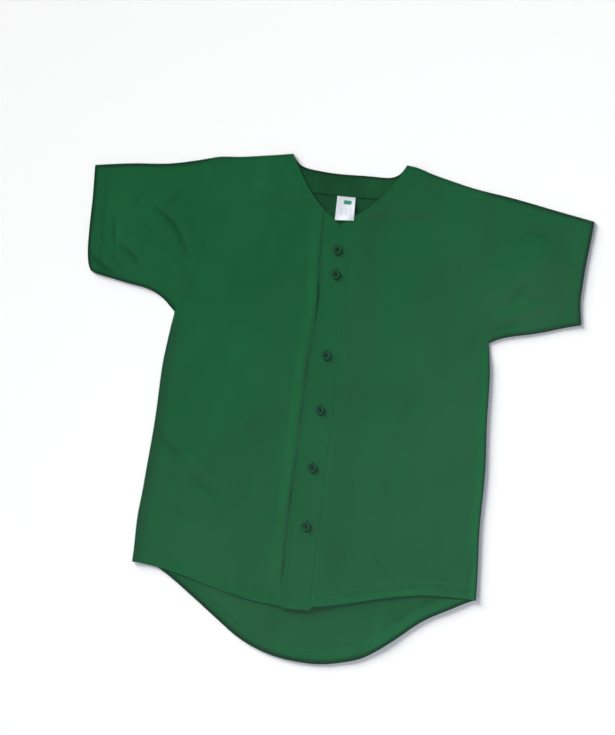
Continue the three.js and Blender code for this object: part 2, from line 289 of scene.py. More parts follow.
def linear(colour):
    """An sRGB hex colour as linear red, green, blue and alpha."""
    shares = [int(colour[place:place + 2], 16) / 255 for place in (1, 3, 5)]
    return (*[s / 12.92 if s <= 0.04045 else ((s + 0.055) / 1.055) ** 2.4 for s in shares], 1)


def smooth(value, low, high):
    """0 below low, 1 above high and a soft step between them."""
    share = np.clip((value - low) / (high - low), 0, 1)
    return share * share * (3 - 2 * share)


def fade(value, low, high):
    """1 below low, 0 above high and a soft step between them."""
    return 1 - smooth(value, low, high)


def bell(away, reach):
    """1 at 0, and falling off softly on both sides."""
    return np.exp(-(away / reach) ** 2)


def lerp(a, b, share):
    share = np.asarray(share, float)[..., None]
    return (1 - share) * np.asarray(a) + share * np.asarray(b)


# An edge is a function from shares along it, 0 to 1, to places
def line(a, b):
    return lambda t: lerp(a, b, t)


def arc(a, control, b):
    return lambda t: lerp(lerp(a, control, t), lerp(control, b, t), t)


def cubic(a, c, d, b):
    return lambda t: lerp(arc(a, c, d)(t), arc(c, d, b)(t), t)


def bowed(a, b, bow):
    """An arc whose middle is pushed out along X."""
    return arc(a, ((a[0] + b[0]) / 2 + 2 * bow, (a[1] + b[1]) / 2), b)


def chain(first, share, second):
    """Two edges end to end, the first of them taking the given share."""
    def edge(t):
        early = first(np.clip(t / share, 0, 1))
        late = second(np.clip((t - share) / (1 - share), 0, 1))
        return np.where((t <= share)[..., None], early, late)
    return edge


def mirrored(edge):
    return lambda t: edge(t) * (-1, 1)


def turned(edge):
    return lambda t: edge(1 - t)


def patch(left, right, bottom, top):
    """Fills the space between four edges: left and right run along Y, bottom and top along X."""
    def place(u, v):
        start, end = np.zeros_like(u), np.ones_like(u)
        sides = lerp(left(v), right(v), u)
        ends = lerp(bottom(u), top(u), v)
        corners = lerp(lerp(left(start), right(start), u), lerp(left(end), right(end), u), v)
        return sides + ends - corners
    return place


# Edges shared by both sides, drawn on the wearer's left
armhole = cubic(ARMPIT, (246, 45), (236, 170), SHOULDER)
shoulder = line(SHOULDER, NECK_SIDE)
SHOULDER_SLOPE = (SHOULDER[1] - NECK_SIDE[1]) / (SHOULDER[0] - NECK_SIDE[0])


def hem_y(hem, x):
    turn = np.clip((x - hem.middle) / hem.half, -1, 1)
    return HEM_TOP - hem.drop * np.cos(math.pi / 2 * turn) ** hem.power


def outer_edge(side, hem, share):
    """A side seam and the armhole above it, from the hem to the shoulder."""
    corner = (side.hem, float(hem_y(hem, side.sign * side.hem)))
    edge = chain(bowed(corner, ARMPIT, side.seam_bow), share, armhole)
    return edge if side.sign > 0 else mirrored(edge)


def hem_edge(hem, from_x, to_x):
    def edge(t):
        x = from_x + (to_x - from_x) * t
        return np.stack([x, hem_y(hem, x)], axis=-1)
    return edge


def back_neckline(depth=0, spread=0):
    """The back neckline from right to left, or a line below it."""
    low = NECK_LOW - depth
    high = NECK_SIDE[1] + SHOULDER_SLOPE * spread

    def edge(t):
        place = np.sin(math.pi * (t - 0.5))
        y = low + (high - low) * np.abs(place) ** NECK_POWER
        return np.stack([(NECK_SIDE[0] + spread) * place, y], axis=-1)
    return edge


def fold_heights(x, y, folds):
    """The height of soft folds at each place."""
    total = np.zeros_like(x)
    for fold in folds:
        run_x, run_y = fold.to_x - fold.from_x, fold.to_y - fold.from_y
        away_x, away_y = x - fold.from_x, y - fold.from_y
        length = math.hypot(run_x, run_y)
        ahead = (away_x * run_x + away_y * run_y) / length ** 2
        middle = 4 * ahead * (1 - ahead) * ((ahead > 0) & (ahead < 1))
        aside = ((away_y * run_x - away_x * run_y) / length - fold.bow * middle) / fold.width
        total += fold.height * middle * np.exp(-aside * aside)
    return total


TROUGHS = [fold for fold in FOLDS if fold.height < 0]


def cloth_shade(grid, reach=6, **edges):
    """How far painted shade darkens the cloth, 0 to 1: along its edges and in its creases."""
    depth = -fold_heights(grid.x, grid.y, TROUGHS)
    shade = CREASE_SHADE.most * np.clip(depth / CREASE_SHADE.depth, 0, 1)
    for edge, strength in edges.items():
        shade = np.maximum(shade, strength * fade(getattr(grid, edge), 0, reach))
    return np.minimum(shade, 1)


def unevenness(x, y, seed, longest=170, shortest=38, height=0.13, count=9):
    """Long low waves in mixed directions, because knitted cloth never lies quite flat."""
    random = np.random.default_rng(seed)
    total = np.zeros_like(x)
    for length in np.geomspace(longest, shortest, count):
        heading, phase = random.uniform(0, 2 * math.pi, 2)
        warp = 14 * np.sin(x / 61 + phase) + 11 * np.cos(y / 47 - phase)
        run = x * math.cos(heading) + y * math.sin(heading) + warp
        total += length / longest * np.sin(2 * math.pi * run / length + phase)
    return height * total


def tail_swell(x, y):
    """How far the tail swells up, so that the front's hem hardly stands above it."""
    swell = TAIL_SWELL
    beside_hem = hem_y(FRONT_HEM, x) - y
    from_band = x - (BAND_LEFT.edge + BAND_LEFT.seam) / 2
    height = swell.height * smooth(beside_hem, *swell.begins)
    height *= np.exp(-np.maximum(beside_hem, 0) / swell.fade)
    height *= 1 - swell.lost * np.exp(-(from_band / swell.reach) ** 4)
    return height * fade(np.abs(x), *swell.ends)


def rise(x, y):
    """How far the upper layer stands above its lowest place, in swells, folds and creases."""
    total = np.zeros_like(x)
    for swell in SWELLS:
        across = (x - swell.x) / swell.reach_x
        along = (y - swell.y) / swell.reach_y
        total += swell.height * np.exp(-across * across - along * along)
    total += fold_heights(x, y, FOLDS) + unevenness(x, y, seed=4)
    # A soft floor keeps the troughs off the layer below, and the hem lies on the swollen tail
    return np.maximum(np.logaddexp(0, total * 4) / 4, tail_swell(x, y))


def right_front_base(x, y):
    """The height of a front's lower side, where no band lies under it."""
    over_facing = smooth(y, *OVER_FACING.y) * fade(np.abs(x), *OVER_FACING.x)
    return CLOTH + GAP + rise(x, y) + over_facing * (FACING + GAP)


def left_front_base(x, y):
    """The same for the left front, which climbs over the right one's band."""
    return right_front_base(x, y) + fade(x, *OVER_BAND) * (BAND + GAP)


def pucker(along, seed):
    """Small uneven waves along a row of stitches, where the thread draws the cloth in."""
    random = np.random.default_rng(seed)
    total = np.zeros_like(along)
    for length in (8.3, 10.7, 14.1, 19.7, 31.0):
        phase, drift = random.uniform(0, 2 * math.pi, 2)
        total += np.sin(2 * math.pi * along / length + phase + 1.3 * np.sin(along / 53 + drift))
    return total / 3


def curl_up(distance, height, reach=14):
    """How far a turned edge stands up from what it lies on."""
    return height * np.clip(1 - distance / reach, 0, 1) ** 1.4


def hem_grooves(distance, depth):
    """The grooves along a hem's two rows of stitches."""
    return sum(depth * bell(distance - row, HEM.groove_width) for row in HEM.rows)


def hem_relief(distance, along, seed, drawn=1.0):
    """A turned-up hem: thicker cloth, two grooves of stitches and the puckers beside them."""
    raised = HEM.lift * fade(distance, HEM.depth - 2, HEM.depth + 5)
    near_rows = bell(distance - sum(HEM.rows) / 2, 6)
    raised = raised - hem_grooves(distance, HEM.groove)
    return raised + HEM.pucker * drawn * near_rows * pucker(along, seed)


def seam_ridge(distance, reach=8.5, height=0.22):
    """The two turned allowances inside a seam, which lift the cloth beside it."""
    return height * fade(distance, reach - 2.5, reach + 1.5)


def topstitch_groove(distance, row, depth=0.3, width=0.9):
    return -depth * bell(distance - row, width)


def stations(length, step, first=EDGE_ROWS, last=EDGE_ROWS, marks=()):
    """Shares from 0 to 1 along a length: close rows at both ends, the marks between them, which
    are shares too, and enough others that no step is longer than step."""
    places = [*first, *(length * np.array(marks)), *(length - np.array(last[::-1]))]
    found = []
    for start, end in zip(places, places[1:]):
        count = max(1, math.ceil((end - start) / step - 1e-6))
        found.extend(start + (end - start) * np.arange(count) / count)
    return np.array([*found, length]) / length


def lay_out(left, right, bottom, top, across, along):
    """A piece's grid: its places, and how far each lies from the piece's four edges."""
    u, v = np.meshgrid(across, along)
    places = patch(left, right, bottom, top)(u, v)
    starts = dict(left=places[:, :1], right=places[:, -1:], bottom=places[:1], top=places[-1:])
    distances = {edge: np.linalg.norm(places - start, axis=-1) for edge, start in starts.items()}
    return Sizes(u=u, v=v, x=places[..., 0], y=places[..., 1], **distances)


def changing(share, first, second, v):
    """An edge's rounding that changes from one kind to another at a share of its length."""
    return tuple(np.where(v < share, a, b) for a, b in zip(first, second))


def edge_fall(distance, radius):
    """How far a round edge falls away: 0 where the cloth is flat and 1 at the very edge."""
    inside = np.clip(1 - distance / radius, 0, 1)
    return 1 - np.sqrt(1 - inside * inside)


def round_edges(grid, under, over, **kinds):
    """Makes a wall's edges round, and keeps the heights of its two sides with its grid."""
    above = np.zeros_like(over)
    below = np.zeros_like(over)
    for edge, (radius, from_above, from_below) in kinds.items():
        fall = edge_fall(getattr(grid, edge), radius)
        above = np.maximum(above, from_above * fall)
        below = np.maximum(below, from_below * fall)
    thickness = over - under
    grid.under = under + thickness * below
    grid.over = over - thickness * above


back_low, back_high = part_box("back_panel")
SHIFT = np.array([back_low.x / MM + RIGHT.hem, back_high.y / MM - NECK_SIDE[1], 0])


def drawn(x, y, pulls):
    """Where places come to lie when the cloth is drawn a few millimetres aside."""
    moved_x, moved_y = np.array(x, float), np.array(y, float)
    for pull in pulls:
        near = np.exp(-((x - pull.x) ** 2 + (y - pull.y) ** 2) / pull.reach ** 2)
        moved_x += near * pull.dx
        moved_y += near * pull.dy
    return moved_x, moved_y


def to_frame(points):
    """Pattern places in millimetres to the frame in metres."""
    return (np.asarray(points, float) + SHIFT) * MM


def add_mesh(name, points, faces, material, shade=None):
    """A piece of the jersey. The painted shade of each of its points is kept for the cloth's colour."""
    mesh = bpy.data.meshes.new(name)
    points = np.array(points, float)
    points[:, 0], points[:, 1] = drawn(points[:, 0], points[:, 1], PULLS)
    mesh.from_pydata(to_frame(points).tolist(), [], faces)
    mesh.shade_smooth()
    mesh.materials.append(material)
    if shade is not None:
        kept = mesh.attributes.new("cloth_shade", "FLOAT", "POINT")
        kept.data.foreach_set("value", np.asarray(shade, np.float32).ravel())
    piece = bpy.data.objects.new(name, mesh)
    bpy.context.scene.collection.objects.link(piece)
    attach(piece, "root")
    return piece


def quads(index):
    """Four-sided faces over a grid of point numbers, anticlockwise from above."""
    corners = [index[:-1, :-1], index[:-1, 1:], index[1:, 1:], index[1:, :-1]]
    return np.stack(corners, axis=-1).reshape(-1, 4)


def closed_wall(x, y, under, over):
    """The points and faces of a closed wall between two heights over a grid."""
    upper = np.stack([x, y, over], axis=-1).reshape(-1, 3)
    lower = np.stack([x, y, under], axis=-1).reshape(-1, 3)
    index = np.arange(len(upper)).reshape(x.shape)
    rim = np.concatenate([index[0, :-1], index[:-1, -1], index[-1, :0:-1], index[:0:-1, 0]])
    following = np.roll(rim, -1)
    below = len(upper)
    wall = np.stack([rim + below, following + below, following, rim], axis=-1)
    faces = np.concatenate([quads(index), quads(index)[:, ::-1] + below, wall])
    if x[0, -1] < x[0, 0]:
        faces = faces[:, ::-1]
    return np.concatenate([upper, lower]), faces


def add_shell(name, grid, material, shade=None):
    """A closed cloth wall between the two sides of a grid."""
    points, faces = closed_wall(grid.x, grid.y, grid.under, grid.over)
    both = None if shade is None else [shade, shade]
    piece = add_mesh(name, points, faces.tolist(), material, both)
    piece.data.set_sharp_from_angle(angle=CLOTH_ANGLE)
    return piece


def sheet_of_cloth(node, grid, sides=1):
    """Hides a piece's CAD part, and works out the flat area of its grid, once for each of its sides; the
    area is not used.
    """
    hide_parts(node)
    run = np.stack([grid.x, grid.y], axis=-1)
    first = run[1:, 1:] - run[:-1, :-1]
    second = run[1:, :-1] - run[:-1, 1:]
    area = np.abs(first[..., 0] * second[..., 1] - first[..., 1] * second[..., 0]).sum() / 2
    area = float(sides * area * MM * MM)


def line_beside(grid, edge, inset, side="over"):
    """The line on one side of a piece that keeps a distance from one of its edges."""
    layers = [getattr(grid, edge), grid.x, grid.y, getattr(grid, side)]
    if edge in ("left", "right"):
        layers = [layer.T for layer in layers]
    if edge in ("right", "top"):
        layers = [layer[::-1] for layer in layers]
    distance, *places = layers
    columns = range(distance.shape[1])
    return np.array([[np.interp(inset, distance[:, c], place[:, c]) for place in places] for c in columns])


def stitch_row(grid, edge, inset, side="over", ends=slice(None)):
    """A row of stitches beside an edge. Each dips into the cloth at both ends."""
    path = line_beside(grid, edge, inset, side)[ends]
    steps = np.linalg.norm(np.diff(path, axis=0), axis=1)
    lengths = np.concatenate([[0], np.cumsum(steps)])
    count = int(lengths[-1] // (STITCH.length + STITCH.gap))
    starts = (np.arange(count) + 0.5) * lengths[-1] / count - STITCH.length / 2
    at = starts[:, None] + STITCH.length * STITCH_SHARES
    points = np.stack([np.interp(at, lengths, path[:, axis]) for axis in range(3)], axis=-1)
    points[..., 2] += STITCH_HEIGHTS * (1 if side == "over" else -0.5)
    return points


def add_threads(name, lines, radius, material, sides=5):
    """Closed round threads along many short lines at once."""
    lines = np.asarray(lines)
    threads, steps, _ = lines.shape
    along = np.gradient(lines, axis=1)
    along /= np.linalg.norm(along, axis=-1, keepdims=True)
    side = np.cross(lines[:, -1:] - lines[:, :1], (0, 0, 1))
    side = side / np.linalg.norm(side, axis=-1, keepdims=True)
    up = np.cross(side, along)
    turn = np.arange(sides) * 2 * math.pi / sides
    ring = side[:, :, None] * np.cos(turn)[:, None] + up[:, :, None] * np.sin(turn)[:, None]
    taper = np.ones(steps)
    taper[[0, -1]] = 0.45
    points = lines[:, :, None] + radius * taper[:, None, None] * ring
    index = np.arange(threads * steps * sides).reshape(threads, steps, sides)
    here, beyond = index[:, :-1], index[:, 1:]
    walls = np.stack([here, beyond, np.roll(beyond, -1, axis=2), np.roll(here, -1, axis=2)], axis=-1)
    faces = walls.reshape(-1, 4).tolist() + index[:, 0].tolist() + index[:, -1, ::-1].tolist()
    piece = add_mesh(name, points.reshape(-1, 3), faces, material)
    return piece


def feed(target, inputs):
    """Sets or links a node's inputs. Of a node given as a value, the first output is taken."""
    for socket, value in inputs.items():
        if isinstance(value, bpy.types.Node):
            value = value.outputs[0]
        if isinstance(value, bpy.types.NodeSocket):
            target.id_data.links.new(value, target.inputs[socket])
        else:
            target.inputs[socket].default_value = value


def node(tree, kind, inputs, **settings):
    """Adds a shader node with its settings and its inputs."""
    made = tree.nodes.new("ShaderNode" + kind)
    for name, value in settings.items():
        setattr(made, name, value)
    feed(made, inputs)
    return made


def new_material(name, **sockets):
    """A material with its shader, and values set on the shader's own sockets."""
    material = bpy.data.materials.new(name)
    material.use_nodes = True
    shader = material.node_tree.nodes["Principled BSDF"]
    feed(shader, {socket.replace("_", " "): value for socket, value in sockets.items()})
    return material, material.node_tree, shader


# Knitted loops are about 0.9 mm wide and 0.7 mm tall, and are drawn twice as coarse to show
WALE = 1.8
COURSE = 1.4


def knitted_jersey(name, shade, pale, grain=0, painted_shade_colour=GREEN_SHADE):
    """Polyester jersey, knitted and then dyed: matt, with a faint nap and fine rows of loops.
    The grain is how far the rows are turned from the garment's length."""
    material, tree, shader = new_material(
        name, Roughness=0.38, Specular_IOR_Level=0.3, Sheen_Weight=0.03, Sheen_Roughness=0.4,
        Sheen_Tint=linear(SHEEN_GREEN),
    )
    place = node(tree, "TexCoord", {}).outputs["Object"]
    grained = node(tree, "Mapping", {"Vector": place, "Rotation": (0, 0, grain)})
    parts = node(tree, "SeparateXYZ", {"Vector": grained}).outputs
    wale = node(tree, "Math", {0: parts["X"], 1: 1 / (WALE * MM)}, operation="MULTIPLY")
    course = node(tree, "Math", {0: parts["Y"], 1: 1 / (COURSE * MM)}, operation="MULTIPLY")
    # Each loop is a V: its rows of yarn slant up from the middle of the wale to both sides
    slant = node(tree, "Math", {0: wale, 1: 0.5}, operation="PINGPONG")
    chevron = node(tree, "Math", {0: slant, 1: 1.6, 2: course}, operation="MULTIPLY_ADD")
    turns = node(tree, "Math", {0: chevron, 1: 2 * math.pi}, operation="MULTIPLY")
    yarn = node(tree, "Math", {0: turns}, operation="SINE")
    rib = node(tree, "Math", {0: slant, 1: 2.4, 2: yarn}, operation="MULTIPLY_ADD")
    bump = node(tree, "Bump", {"Height": rib, "Strength": 0.22, "Distance": 0.12 * MM})
    # Broad paler clouds, and streaks a few wales wide from uneven yarn
    clouds = node(tree, "TexNoise", {"Vector": place, "Scale": 7.0, "Detail": 2.0})
    stretched = node(tree, "Mapping", {"Vector": grained, "Scale": (210, 9, 9)})
    streaks = node(tree, "TexNoise", {"Vector": stretched, "Scale": 1.0, "Detail": 3.0})
    mixed = node(tree, "Math", {0: streaks, 1: 0.25, 2: clouds}, operation="MULTIPLY_ADD")
    share = node(tree, "MapRange", {"Value": mixed, "From Min": 0.4, "From Max": 0.85})
    dyed = node(tree, "Mix", {0: share, 6: linear(shade), 7: linear(pale)}, data_type="RGBA").outputs[2]
    # Painted shade: the colour is darkened towards the shade green by each point's cloth_shade, along the
    # outline and in the creases
    turned = node(tree, "Attribute", {}, attribute_name="cloth_shade").outputs["Fac"]
    colour = node(tree, "Mix", {0: turned, 6: dyed, 7: linear(painted_shade_colour)}, data_type="RGBA").outputs[2]
    feed(shader, {"Base Color": colour, "Normal": bump})
    return material


def fine_ridges(name, colour, roughness, shine, strength, depth, direction, **wave):
    """A smooth material with the fine ridges of its yarns."""
    material, tree, shader = new_material(
        name, Base_Color=linear(colour), Roughness=roughness, Specular_IOR_Level=shine,
    )
    place = node(tree, "TexCoord", {}).outputs["Object"]
    ridges = node(tree, "TexWave", {"Vector": place, **wave}, bands_direction=direction).outputs["Fac"]
    bump = node(tree, "Bump", {"Height": ridges, "Strength": strength, "Distance": depth * MM})
    feed(shader, {"Normal": bump})
    return material


def spun_thread(name, colour):
    """Polyester sewing thread, twisted: a little brighter than the cloth, with a slight shine."""
    return fine_ridges(name, colour, 0.6, 0.15, 0.3, 0.05, "DIAGONAL", Scale=600.0)


def cast_resin(name, colour):
    """Polyester button resin, cast in sheets, cut and tumbled to a gloss, with faint cloudy swirls."""
    material, tree, shader = new_material(name, Roughness=0.4, Specular_IOR_Level=0.22)
    cloudy = {"Scale": 160.0, "Detail": 3.0, "Distortion": 1.5}
    place = node(tree, "TexCoord", {}).outputs["Object"]
    swirls = node(tree, "TexNoise", {"Vector": place, **cloudy})
    colours = {0: swirls, 6: linear(colour), 7: linear(RESIN_SWIRL)}
    feed(shader, {"Base Color": node(tree, "Mix", colours, data_type="RGBA").outputs[2]})
    return material


def woven_satin(name, colour):
    """Polyester satin, woven: fine floats along one way give a soft shine across them. Its warp
    ends are about 0.15 mm apart, and are drawn three times as coarse to show."""
    return fine_ridges(name, colour, 0.42, 0.4, 0.25, 0.06, "X", Scale=350.0, Distortion=0.6)


def matt_paper(name, colour):
    """Seamless background paper: plain, pale and matt."""
    return new_material(name, Base_Color=linear(colour), Roughness=0.95, Specular_IOR_Level=0.1)[0]


BODY_CLOTH = knitted_jersey("knitted_jersey_body", GREEN, GREEN_PALE)
SLEEVE_CLOTH = {
    side.name: knitted_jersey(
        f"knitted_jersey_sleeve_{side.name}", GREEN, GREEN_PALE, grain=math.radians(80 * side.sign),
    )
    for side in (LEFT, RIGHT)
}
# Painted shade: a darker copy of the jersey that stands for the shade in the neck opening
NECK_SHADE_CLOTH = knitted_jersey("knitted_jersey_neck_shade", GREEN_NECK_SHADE, GREEN, painted_shade_colour=GREEN_NECK_DEEP_SHADE)
THREAD = spun_thread("spun_polyester_thread", GREEN_THREAD)
BUTTON_THREAD = spun_thread("spun_polyester_button_thread", GREEN_BUTTON_THREAD)
RESIN = cast_resin("cast_resin_button", RESIN_GREEN)
SATIN = woven_satin("woven_satin_label", LABEL_WHITE)
SATIN_GREEN = woven_satin("woven_satin_mark_green", LABEL_GREEN)
SATIN_GREY = woven_satin("woven_satin_mark_grey", LABEL_GREY)


def add_camera():
    """Straight above, turned a little, as far away as a standing person with a long lens."""
    camera = bpy.data.cameras.new("camera")
    camera.lens = CAMERA.lens
    camera.sensor_width = CAMERA.sensor
    eye = bpy.data.objects.new("camera", camera)
    eye.location = to_frame((CAMERA.x, CAMERA.y, CAMERA.height))
    eye.rotation_euler = (0, 0, math.radians(CAMERA.turn))
    bpy.context.scene.collection.objects.link(eye)
    bpy.context.scene.camera = eye


def add_light(name, kind, azimuth, elevation, distance, size, power, colour):
    """A soft light that faces the jersey. Azimuth 0 is towards the hem, 90 the wearer's left."""
    light = bpy.data.lights.new(name, kind)
    light.energy = power
    light.color = linear(colour)[:3]
    if kind == "AREA":
        light.size = size
    else:
        light.angle = 2 * math.atan(size / 2 / distance)
    lamp = bpy.data.objects.new(name, light)
    turn, tilt = math.radians(azimuth), math.radians(elevation)
    lamp.location = (
        distance * math.sin(turn) * math.cos(tilt),
        -distance * math.cos(turn) * math.cos(tilt),
        distance * math.sin(tilt),
    )
    lamp.rotation_euler = (math.pi / 2 - tilt, 0, turn)
    bpy.context.scene.collection.objects.link(lamp)


def add_room():
    """A dim studio whose pale walls stand round the floor, as high as a fifth of the sky."""
    world = bpy.data.worlds.new("studio")
    world.use_nodes = True
    tree = world.node_tree
    direction = node(tree, "TexCoord", {}).outputs["Generated"]
    up = node(tree, "SeparateXYZ", {"Vector": direction}).outputs["Z"]
    height = {"Value": up, "From Min": 0.06, "From Max": 0.34, "To Min": 1, "To Max": 0}
    wall = node(tree, "MapRange", height, interpolation_type="SMOOTHSTEP")
    colours = {0: wall, 6: linear(CEILING_GREY), 7: linear(WALL_WHITE)}
    mixed = node(tree, "Mix", colours, data_type="RGBA").outputs[2]
    feed(tree.nodes["Background"], {"Color": mixed})
    bpy.context.scene.world = world


def add_studio():
    bpy.context.scene.view_settings.view_transform = "Standard"
    add_room()
    add_light("key", "SUN", -128, 17, distance=6, size=3.3, power=6.95, colour="#FFFDF9")
    add_light("fill", "SUN", -52, 26, distance=6, size=3.0, power=0.6, colour="#FFFDF9")
    add_light("veil_low", "AREA", -18, 67, distance=2.0, size=0.55, power=5.2, colour="#E8F1FF")
    add_light("veil_right", "AREA", 88, 64, distance=2.2, size=0.45, power=7.2, colour="#E8F1FF")
    bpy.ops.mesh.primitive_grid_add(x_subdivisions=4, y_subdivisions=4, size=60, location=(0, 0, -0.0003))
    floor = bpy.context.object
    floor.name = "floor"
    floor.data.materials.append(matt_paper("seamless_paper", PAPER_WHITE))


def back_grid():
    """The back's outline, from the tail's hem to the shoulders and the neckline."""
    wide, tall = 600, 800
    neck = chain(back_neckline(), NECK_SHARE, turned(shoulder))
    grid = lay_out(
        left=outer_edge(RIGHT, TAIL_HEM, BACK_SHARE),
        right=outer_edge(LEFT, TAIL_HEM, BACK_SHARE),
        bottom=hem_edge(TAIL_HEM, -RIGHT.hem, LEFT.hem),
        top=chain(mirrored(shoulder), SHOULDER_SHARE, neck),
        across=stations(wide, step=3.1, marks=(SHOULDER_SHARE, 1 - SHOULDER_SHARE)),
        along=stations(tall, step=4.2, first=HEM_ROWS, marks=(BACK_SHARE,)),
    )
    grid.x, grid.y = drawn(grid.x, grid.y, TAIL_PULLS)
    return grid


def shape_back(grid):
    """The back lies on the floor, so its relief is in its upper side and its turned hem."""
    slope = np.abs(np.gradient(hem_y(TAIL_HEM, grid.x[0]), grid.x[0]))
    shown = fade(grid.y - hem_y(FRONT_HEM, grid.x), -4, 6)
    relief = hem_relief(grid.bottom, grid.x, seed=11, drawn=0.5 + 1.1 * slope) * (0.4 + 0.6 * shown)
    relief += shown * np.maximum(unevenness(grid.x, grid.y, seed=9, height=0.22), -0.25)
    relief += tail_swell(grid.x, grid.y) * smooth(grid.bottom, 8, 40)
    lifted = curl_up(grid.bottom, 2.2, reach=26)
    under = hem_grooves(grid.bottom, HEM.groove_below) + lifted
    over = CLOTH + relief + lifted
    side = changing(BACK_SHARE, TURNED_UP, BUTTED, grid.v)
    ends = np.abs(grid.u - 0.5) > 0.5 - SHOULDER_SHARE
    neck = tuple(np.where(ends, a, b) for a, b in zip(TURNED_UP, FOLDED))
    round_edges(grid, under, over, left=side, right=side, bottom=FOLDED, top=neck)


def add_back():
    grid = back_grid()
    shape_back(grid)
    # Painted shade along the back's outline and in its creases
    shade = cloth_shade(grid, reach=12, left=0.8, right=0.8, bottom=1.2, top=0.8)
    piece = add_shell("cloth_back", grid, BODY_CLOTH, shade)
    # Painted shade: the back's upper side takes the darker cloth in the neck opening
    piece.data.materials.append(NECK_SHADE_CLOTH)
    for face in piece.data.polygons:
        height_up = face.center.y / MM - SHIFT[1]
        face.material_index = int(height_up > NECK_SHADE_FROM_Y and face.normal.z > 0.5)
    sheet_of_cloth("back_panel", grid)
    return grid


def wander(y):
    """How far the left band's outer edge lies to the wearer's left of its straight place."""
    return sum(far * bell(y - middle, reach) for middle, reach, far in WANDERS)


def swell_beside_band(x, y):
    """How far the right front swells up beside the band, most between the buttons."""
    swell = BESIDE_BAND
    away = BAND_LEFT.edge + wander(y) - x
    strength = swell.height * smooth(y, *swell.begins)
    for middle, more in BAND_SWELLS:
        strength += more * bell(y - middle, swell.reach)
    fading = fade(away, swell.full, swell.faded)
    return strength * smooth(away, 0, swell.full) * fading * (away > 0)


def front_grid(side, band):
    """A front, from its band's seam and the neckline to the side seam and the armhole."""
    seam_x = band.seam + side.sign * SEAM
    seam_top = (seam_x, band.seam_top)
    neck_side = (side.sign * NECK_SIDE[0], NECK_SIDE[1])
    seam = line((seam_x, float(hem_y(FRONT_HEM, seam_x))), seam_top)
    neck = arc(seam_top, (side.sign * NECK_CURVE[0], NECK_CURVE[1]), neck_side)
    wide, tall = 275, 740
    return lay_out(
        left=chain(seam, SEAM_SHARE, neck),
        right=outer_edge(side, FRONT_HEM, SIDE_SHARE),
        bottom=hem_edge(FRONT_HEM, seam_x, side.sign * side.hem),
        top=turned(shoulder) if side.sign > 0 else mirrored(turned(shoulder)),
        across=stations(wide, step=2.7, first=SEAM_ROWS),
        along=stations(tall, step=2.9, first=HEM_ROWS, marks=(SIDE_SHARE, SEAM_SHARE)),
    )


def front_relief(grid, side):
    """How far a front's upper side stands above plain cloth, at its hem, seams and neckline."""
    relief = hem_relief(grid.bottom, grid.x, seed=21 + side.sign)
    relief += seam_ridge(grid.right, height=0.12) + seam_ridge(grid.top)
    if side.sign < 0:
        relief += swell_beside_band(grid.x, grid.y)
    # The hem's folded edge stands up a little and catches the light
    relief += curl_up(grid.bottom, 0.5, reach=12)
    beside_neck = smooth(grid.v, SEAM_SHARE - 0.004, SEAM_SHARE + 0.004)
    neck = seam_ridge(grid.left, reach=24, height=0.25) + topstitch_groove(grid.left, NECK_ROW)
    relief += beside_neck * neck
    # The front is as thick as the band where they meet
    return relief + (1 - beside_neck) * (BAND - CLOTH) * fade(grid.left, 0, 34)


def add_front(side, band, base):
    grid = front_grid(side, band)
    below_arm = fade(grid.v, SIDE_SHARE - 0.06, SIDE_SHARE - 0.01)
    under = base(grid.x, grid.y)
    over = under + CLOTH + front_relief(grid, side) + below_arm * curl_up(grid.right, 2.4, reach=18)
    inner = changing(SEAM_SHARE, BUTTED, PRESSED, grid.v)
    outer = changing(SIDE_SHARE, TURNED_DOWN, BUTTED, grid.v)
    round_edges(grid, under, over, left=inner, right=outer, bottom=FOLDED, top=TURNED_DOWN)
    # Painted shade along the front's side and shoulder, and in its creases
    shade = cloth_shade(grid, right=0.8 * below_arm, top=0.8)
    piece = add_shell(f"cloth_front_{side.name}", grid, BODY_CLOTH, shade)
    sheet_of_cloth(f"front_{side.name}_panel", grid)
    return grid


def button_dimples(x, y):
    """Each button draws the band in, and the cloth swells a little round it."""
    total = np.zeros_like(x)
    for button_x, button_y in BUTTON_PLACES:
        away = np.hypot(x - button_x, y - button_y)
        total += 0.3 * bell(away - 12, 4.5) - 0.2 * bell(away, 7)
    return total


def band_grid(band, shows):
    """A folded button band, from its outer edge to its seam."""
    edge_top, seam_top = (band.edge, band.edge_top), (band.seam, band.seam_top)
    edge_bottom = (band.edge, float(hem_y(FRONT_HEM, band.edge)))
    seam_bottom = (band.seam, float(hem_y(FRONT_HEM, band.seam)))
    wide, tall = 52, 640
    grid = lay_out(
        left=line(edge_bottom, edge_top),
        right=line(seam_bottom, seam_top),
        bottom=hem_edge(FRONT_HEM, band.edge, band.seam),
        top=arc(edge_top, band.curve, seam_top),
        across=stations(wide, step=1.5, first=SEAM_ROWS, last=SEAM_ROWS),
        along=stations(tall, step=2.6, first=HEM_ROWS, last=SEAM_ROWS),
    )
    if shows:
        grid.x += wander(grid.y) * fade(grid.u, 0, 0.6) * smooth(grid.top, 0, 20)
        drop = BAND_DROP[0] + (BAND_DROP[1] - BAND_DROP[0]) * grid.u
        grid.y -= drop * fade(grid.bottom, 10, 90)
    return grid


